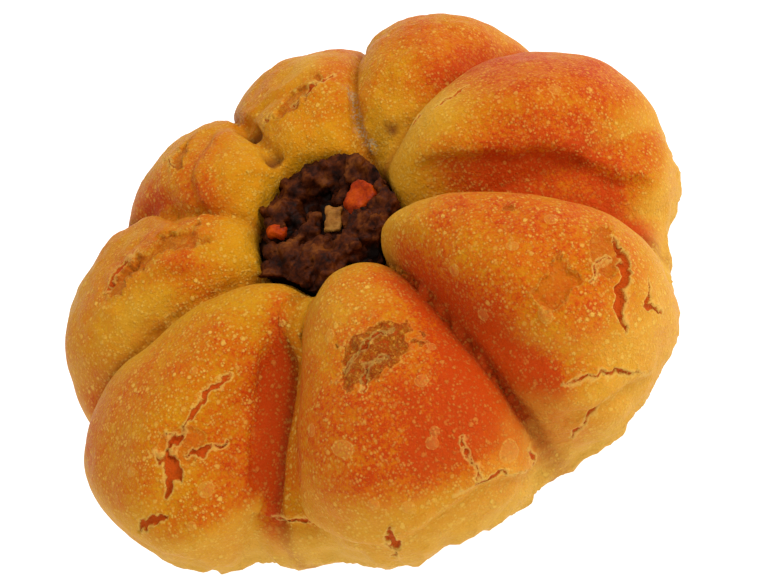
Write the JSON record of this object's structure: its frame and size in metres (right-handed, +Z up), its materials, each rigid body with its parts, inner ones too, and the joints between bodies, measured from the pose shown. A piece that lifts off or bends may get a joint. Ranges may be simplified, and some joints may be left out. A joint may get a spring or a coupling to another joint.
{
  "type": "filled bread roll",
  "caption": "Round filled bread roll baked as a ring of rounded lobes around an open centre that shows a minced savoury filling.",
  "frame": {"origin": "middle of the roll's footprint on the surface it rests on, at the level of its flat base", "axes": "+Z up through the filled opening, -Y towards the two broadest lobes, +X towards the tallest side"},
  "size_m": [0.1125, 0.109, 0.0402],
  "materials": {
    "crust": "satin",
    "minced_filling": "glossy",
    "carrot": "glossy",
    "onion": "glossy"
  },
  "bodies": {
    "root": {"bread_roll": "crust", "filling": "minced_filling", "carrot_piece_1": "carrot", "carrot_piece_2": "carrot", "onion_piece": "onion"}
  },
  "joints": []
}
